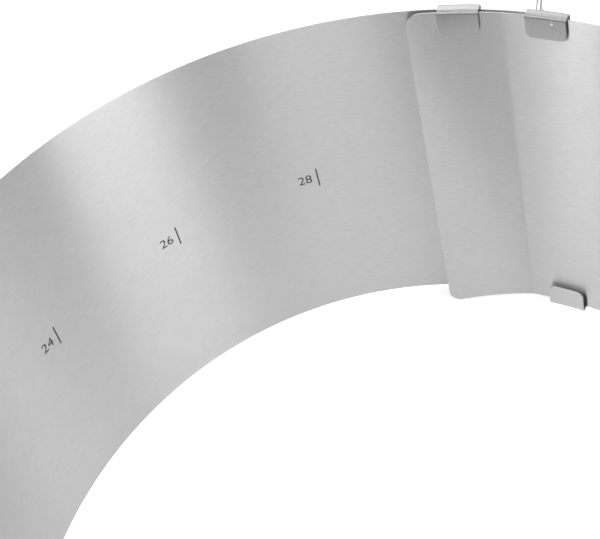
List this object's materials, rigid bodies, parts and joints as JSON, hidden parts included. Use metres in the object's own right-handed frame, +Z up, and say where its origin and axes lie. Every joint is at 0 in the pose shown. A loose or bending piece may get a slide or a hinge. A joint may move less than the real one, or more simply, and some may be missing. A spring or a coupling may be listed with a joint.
{
  "type": "adjustable cake ring",
  "caption": "Tall open cake ring of one overlapping stainless strip, held by folded clips at both ends and wound wider or tighter by hand.",
  "frame": {"origin": "on the ring's axis, level with the strip's lower edge, which the ring stands on", "axes": "+Z up along the ring's axis; +Y from the axis to the side where the strip's ends overlap, the inner end's edge standing a little to its +X side"},
  "size_m": [0.2958, 0.2966, 0.1522],
  "materials": {
    "strip": "satin",
    "folded_clips": "satin",
    "polished_wire": "polished"
  },
  "bodies": {
    "inner_end": {"strip_panel_01": "strip", "inner_end_clip": "folded_clips"},
    "strip_02": {"strip_panel_02": "strip"},
    "strip_03": {"strip_panel_03": "strip"},
    "strip_04": {"strip_panel_04": "strip"},
    "strip_05": {"strip_panel_05": "strip"},
    "strip_06": {"strip_panel_06": "strip"},
    "strip_07": {"strip_panel_07": "strip"},
    "strip_08": {"strip_panel_08": "strip"},
    "strip_09": {"strip_panel_09": "strip"},
    "strip_10": {"strip_panel_10": "strip"},
    "strip_11": {"strip_panel_11": "strip"},
    "strip_12": {"strip_panel_12": "strip"},
    "strip_13": {"strip_panel_13": "strip"},
    "strip_14": {"strip_panel_14": "strip"},
    "strip_15": {"strip_panel_15": "strip"},
    "strip_16": {"strip_panel_16": "strip"},
    "strip_17": {"strip_panel_17": "strip"},
    "strip_18": {"strip_panel_18": "strip"},
    "strip_19": {"strip_panel_19": "strip"},
    "strip_20": {"strip_panel_20": "strip"},
    "strip_21": {"strip_panel_21": "strip"},
    "strip_22": {"strip_panel_22": "strip"},
    "strip_23": {"strip_panel_23": "strip"},
    "strip_24": {"strip_panel_24": "strip"},
    "strip_25": {"strip_panel_25": "strip"},
    "strip_26": {"strip_panel_26": "strip"},
    "strip_27": {"strip_panel_27": "strip"},
    "strip_28": {"strip_panel_28": "strip"},
    "strip_29": {"strip_panel_29": "strip"},
    "strip_30": {"strip_panel_30": "strip"},
    "strip_31": {"strip_panel_31": "strip"},
    "strip_32": {"strip_panel_32": "strip"},
    "strip_33": {"strip_panel_33": "strip"},
    "strip_34": {"strip_panel_34": "strip"},
    "strip_35": {"strip_panel_35": "strip"},
    "strip_36": {"strip_panel_36": "strip"},
    "strip_37": {"strip_panel_37": "strip"},
    "strip_38": {"strip_panel_38": "strip"},
    "strip_39": {"strip_panel_39": "strip"},
    "strip_40": {"strip_panel_40": "strip"},
    "strip_41": {"strip_panel_41": "strip"},
    "strip_42": {"strip_panel_42": "strip"},
    "strip_43": {"strip_panel_43": "strip"},
    "strip_44": {"strip_panel_44": "strip"},
    "strip_45": {"strip_panel_45": "strip"},
    "outer_end": {"strip_panel_46": "strip", "outer_end_top_clip": "folded_clips", "outer_end_bottom_clip": "folded_clips", "pull_handle": "polished_wire"}
  },
  "joints": [
    {"name": "flex_01", "type": "hinge", "parent": "strip_02", "child": "inner_end", "pos_m": [0.05785, 0.13425, 0.075], "axis": [0, 0, 1], "range_deg": [-0.16, 8.33]},
    {"name": "flex_02", "type": "hinge", "parent": "strip_03", "child": "strip_02", "pos_m": [0.07697, 0.12528, 0.075], "axis": [0, 0, 1], "range_deg": [-0.14, 7.09]},
    {"name": "flex_03", "type": "hinge", "parent": "strip_04", "child": "strip_03", "pos_m": [0.09417, 0.11297, 0.075], "axis": [0, 0, 1], "range_deg": [-0.14, 7.08]},
    {"name": "flex_04", "type": "hinge", "parent": "strip_05", "child": "strip_04", "pos_m": [0.10943, 0.09831, 0.075], "axis": [0, 0, 1], "range_deg": [-0.14, 7.07]},
    {"name": "flex_05", "type": "hinge", "parent": "strip_06", "child": "strip_05", "pos_m": [0.12244, 0.08162, 0.075], "axis": [0, 0, 1], "range_deg": [-0.14, 7.06]},
    {"name": "flex_06", "type": "hinge", "parent": "strip_07", "child": "strip_06", "pos_m": [0.13291, 0.06323, 0.075], "axis": [0, 0, 1], "range_deg": [-0.14, 7.06]},
    {"name": "flex_07", "type": "hinge", "parent": "strip_08", "child": "strip_07", "pos_m": [0.14064, 0.04353, 0.075], "axis": [0, 0, 1], "range_deg": [-0.14, 7.05]},
    {"name": "flex_08", "type": "hinge", "parent": "strip_09", "child": "strip_08", "pos_m": [0.14546, 0.02293, 0.075], "axis": [0, 0, 1], "range_deg": [-0.14, 7.04]},
    {"name": "flex_09", "type": "hinge", "parent": "strip_10", "child": "strip_09", "pos_m": [0.14728, 0.00185, 0.075], "axis": [0, 0, 1], "range_deg": [-0.14, 7.03]},
    {"name": "flex_10", "type": "hinge", "parent": "strip_11", "child": "strip_10", "pos_m": [0.14606, -0.01928, 0.075], "axis": [0, 0, 1], "range_deg": [-0.14, 7.02]},
    {"name": "flex_11", "type": "hinge", "parent": "strip_12", "child": "strip_11", "pos_m": [0.14183, -0.04001, 0.075], "axis": [0, 0, 1], "range_deg": [-0.14, 7.01]},
    {"name": "flex_12", "type": "hinge", "parent": "strip_13", "child": "strip_12", "pos_m": [0.13467, -0.05992, 0.075], "axis": [0, 0, 1], "range_deg": [-0.14, 7]},
    {"name": "flex_13", "type": "hinge", "parent": "strip_14", "child": "strip_13", "pos_m": [0.12474, -0.07861, 0.075], "axis": [0, 0, 1], "range_deg": [-0.14, 6.99]},
    {"name": "flex_14", "type": "hinge", "parent": "strip_15", "child": "strip_14", "pos_m": [0.11223, -0.09567, 0.075], "axis": [0, 0, 1], "range_deg": [-0.14, 6.98]},
    {"name": "flex_15", "type": "hinge", "parent": "strip_16", "child": "strip_15", "pos_m": [0.09741, -0.11078, 0.075], "axis": [0, 0, 1], "range_deg": [-0.14, 6.97]},
    {"name": "flex_16", "type": "hinge", "parent": "strip_17", "child": "strip_16", "pos_m": [0.08058, -0.1236, 0.075], "axis": [0, 0, 1], "range_deg": [-0.14, 6.96]},
    {"name": "flex_17", "type": "hinge", "parent": "strip_18", "child": "strip_17", "pos_m": [0.06209, -0.13389, 0.075], "axis": [0, 0, 1], "range_deg": [-0.14, 6.96]},
    {"name": "flex_18", "type": "hinge", "parent": "strip_19", "child": "strip_18", "pos_m": [0.04232, -0.14143, 0.075], "axis": [0, 0, 1], "range_deg": [-0.14, 6.95]},
    {"name": "flex_19", "type": "hinge", "parent": "strip_20", "child": "strip_19", "pos_m": [0.02167, -0.14606, 0.075], "axis": [0, 0, 1], "range_deg": [-0.14, 6.94]},
    {"name": "flex_20", "type": "hinge", "parent": "strip_21", "child": "strip_20", "pos_m": [0.00057, -0.14769, 0.075], "axis": [0, 0, 1], "range_deg": [-0.14, 6.93]},
    {"name": "flex_21", "type": "hinge", "parent": "strip_22", "child": "strip_21", "pos_m": [-0.02054, -0.1463, 0.075], "axis": [0, 0, 1], "range_deg": [-0.14, 6.92]},
    {"name": "flex_22", "type": "hinge", "parent": "strip_23", "child": "strip_22", "pos_m": [-0.04124, -0.1419, 0.075], "axis": [0, 0, 1], "range_deg": [-0.14, 6.91]},
    {"name": "flex_23", "type": "hinge", "parent": "strip_24", "child": "strip_23", "pos_m": [-0.0611, -0.13459, 0.075], "axis": [0, 0, 1], "range_deg": [-0.14, 6.9]},
    {"name": "flex_24", "type": "hinge", "parent": "strip_25", "child": "strip_24", "pos_m": [-0.07971, -0.12452, 0.075], "axis": [0, 0, 1], "range_deg": [-0.14, 6.89]},
    {"name": "flex_25", "type": "hinge", "parent": "strip_26", "child": "strip_25", "pos_m": [-0.09669, -0.11189, 0.075], "axis": [0, 0, 1], "range_deg": [-0.14, 6.88]},
    {"name": "flex_26", "type": "hinge", "parent": "strip_27", "child": "strip_26", "pos_m": [-0.11169, -0.09697, 0.075], "axis": [0, 0, 1], "range_deg": [-0.14, 6.87]},
    {"name": "flex_27", "type": "hinge", "parent": "strip_28", "child": "strip_27", "pos_m": [-0.12442, -0.08006, 0.075], "axis": [0, 0, 1], "range_deg": [-0.14, 6.87]},
    {"name": "flex_28", "type": "hinge", "parent": "strip_29", "child": "strip_28", "pos_m": [-0.1346, -0.06151, 0.075], "axis": [0, 0, 1], "range_deg": [-0.14, 6.86]},
    {"name": "flex_29", "type": "hinge", "parent": "strip_30", "child": "strip_29", "pos_m": [-0.14203, -0.0417, 0.075], "axis": [0, 0, 1], "range_deg": [-0.14, 6.85]},
    {"name": "flex_30", "type": "hinge", "parent": "strip_31", "child": "strip_30", "pos_m": [-0.14656, -0.02103, 0.075], "axis": [0, 0, 1], "range_deg": [-0.14, 6.84]},
    {"name": "flex_31", "type": "hinge", "parent": "strip_32", "child": "strip_31", "pos_m": [-0.1481, 0.00007, 0.075], "axis": [0, 0, 1], "range_deg": [-0.14, 6.83]},
    {"name": "flex_32", "type": "hinge", "parent": "strip_33", "child": "strip_32", "pos_m": [-0.14661, 0.02118, 0.075], "axis": [0, 0, 1], "range_deg": [-0.13, 6.82]},
    {"name": "flex_33", "type": "hinge", "parent": "strip_34", "child": "strip_33", "pos_m": [-0.14213, 0.04186, 0.075], "axis": [0, 0, 1], "range_deg": [-0.13, 6.81]},
    {"name": "flex_34", "type": "hinge", "parent": "strip_35", "child": "strip_34", "pos_m": [-0.13475, 0.06169, 0.075], "axis": [0, 0, 1], "range_deg": [-0.13, 6.8]},
    {"name": "flex_35", "type": "hinge", "parent": "strip_36", "child": "strip_35", "pos_m": [-0.12463, 0.08027, 0.075], "axis": [0, 0, 1], "range_deg": [-0.13, 6.79]},
    {"name": "flex_36", "type": "hinge", "parent": "strip_37", "child": "strip_36", "pos_m": [-0.11196, 0.09722, 0.075], "axis": [0, 0, 1], "range_deg": [-0.13, 6.78]},
    {"name": "flex_37", "type": "hinge", "parent": "strip_38", "child": "strip_37", "pos_m": [-0.097, 0.11219, 0.075], "axis": [0, 0, 1], "range_deg": [-0.13, 6.77]},
    {"name": "flex_38", "type": "hinge", "parent": "strip_39", "child": "strip_38", "pos_m": [-0.08007, 0.12489, 0.075], "axis": [0, 0, 1], "range_deg": [-0.13, 6.77]},
    {"name": "flex_39", "type": "hinge", "parent": "strip_40", "child": "strip_39", "pos_m": [-0.06151, 0.13504, 0.075], "axis": [0, 0, 1], "range_deg": [-0.13, 6.75]},
    {"name": "flex_40", "type": "hinge", "parent": "strip_40", "child": "strip_41", "pos_m": [-0.04169, 0.14245, 0.075], "axis": [0, 0, 1], "range_deg": [-6.75, 0.13]},
    {"name": "flex_41", "type": "hinge", "parent": "strip_41", "child": "strip_42", "pos_m": [-0.02101, 0.14696, 0.075], "axis": [0, 0, 1], "range_deg": [-6.74, 0.13]},
    {"name": "flex_42", "type": "hinge", "parent": "strip_42", "child": "strip_43", "pos_m": [0.00009, 0.1485, 0.075], "axis": [0, 0, 1], "range_deg": [-6.73, 0.13]},
    {"name": "flex_43", "type": "hinge", "parent": "strip_43", "child": "strip_44", "pos_m": [0.0212, 0.14701, 0.075], "axis": [0, 0, 1], "range_deg": [-6.72, 0.13]},
    {"name": "flex_44", "type": "hinge", "parent": "strip_44", "child": "strip_45", "pos_m": [0.04188, 0.14254, 0.075], "axis": [0, 0, 1], "range_deg": [-6.71, 0.13]},
    {"name": "flex_45", "type": "hinge", "parent": "strip_45", "child": "outer_end", "pos_m": [0.06172, 0.13518, 0.075], "axis": [0, 0, 1], "range_deg": [-7.86, 0.16]}
  ],
  "couplings": [
    {"joint": "flex_01", "follows": "flex_39", "ratio": 1.2326},
    {"joint": "flex_02", "follows": "flex_39", "ratio": 1.0496},
    {"joint": "flex_03", "follows": "flex_39", "ratio": 1.0483},
    {"joint": "flex_04", "follows": "flex_39", "ratio": 1.0469},
    {"joint": "flex_05", "follows": "flex_39", "ratio": 1.0456},
    {"joint": "flex_06", "follows": "flex_39", "ratio": 1.0442},
    {"joint": "flex_07", "follows": "flex_39", "ratio": 1.0429},
    {"joint": "flex_08", "follows": "flex_39", "ratio": 1.0416},
    {"joint": "flex_09", "follows": "flex_39", "ratio": 1.0402},
    {"joint": "flex_10", "follows": "flex_39", "ratio": 1.0389},
    {"joint": "flex_11", "follows": "flex_39", "ratio": 1.0375},
    {"joint": "flex_12", "follows": "flex_39", "ratio": 1.0362},
    {"joint": "flex_13", "follows": "flex_39", "ratio": 1.0349},
    {"joint": "flex_14", "follows": "flex_39", "ratio": 1.0335},
    {"joint": "flex_15", "follows": "flex_39", "ratio": 1.0322},
    {"joint": "flex_16", "follows": "flex_39", "ratio": 1.0308},
    {"joint": "flex_17", "follows": "flex_39", "ratio": 1.0295},
    {"joint": "flex_18", "follows": "flex_39", "ratio": 1.0282},
    {"joint": "flex_19", "follows": "flex_39", "ratio": 1.0268},
    {"joint": "flex_20", "follows": "flex_39", "ratio": 1.0255},
    {"joint": "flex_21", "follows": "flex_39", "ratio": 1.0241},
    {"joint": "flex_22", "follows": "flex_39", "ratio": 1.0228},
    {"joint": "flex_23", "follows": "flex_39", "ratio": 1.0215},
    {"joint": "flex_24", "follows": "flex_39", "ratio": 1.0201},
    {"joint": "flex_25", "follows": "flex_39", "ratio": 1.0188},
    {"joint": "flex_26", "follows": "flex_39", "ratio": 1.0174},
    {"joint": "flex_27", "follows": "flex_39", "ratio": 1.0161},
    {"joint": "flex_28", "follows": "flex_39", "ratio": 1.0147},
    {"joint": "flex_29", "follows": "flex_39", "ratio": 1.0134},
    {"joint": "flex_30", "follows": "flex_39", "ratio": 1.0121},
    {"joint": "flex_31", "follows": "flex_39", "ratio": 1.0107},
    {"joint": "flex_32", "follows": "flex_39", "ratio": 1.0094},
    {"joint": "flex_33", "follows": "flex_39", "ratio": 1.008},
    {"joint": "flex_34", "follows": "flex_39", "ratio": 1.0067},
    {"joint": "flex_35", "follows": "flex_39", "ratio": 1.0054},
    {"joint": "flex_36", "follows": "flex_39", "ratio": 1.004},
    {"joint": "flex_37", "follows": "flex_39", "ratio": 1.0027},
    {"joint": "flex_38", "follows": "flex_39", "ratio": 1.0013},
    {"joint": "flex_40", "follows": "flex_39", "ratio": -0.99866},
    {"joint": "flex_41", "follows": "flex_39", "ratio": -0.99732},
    {"joint": "flex_42", "follows": "flex_39", "ratio": -0.99598},
    {"joint": "flex_43", "follows": "flex_39", "ratio": -0.99464},
    {"joint": "flex_44", "follows": "flex_39", "ratio": -0.9933},
    {"joint": "flex_45", "follows": "flex_39", "ratio": -1.1634}
  ]
}
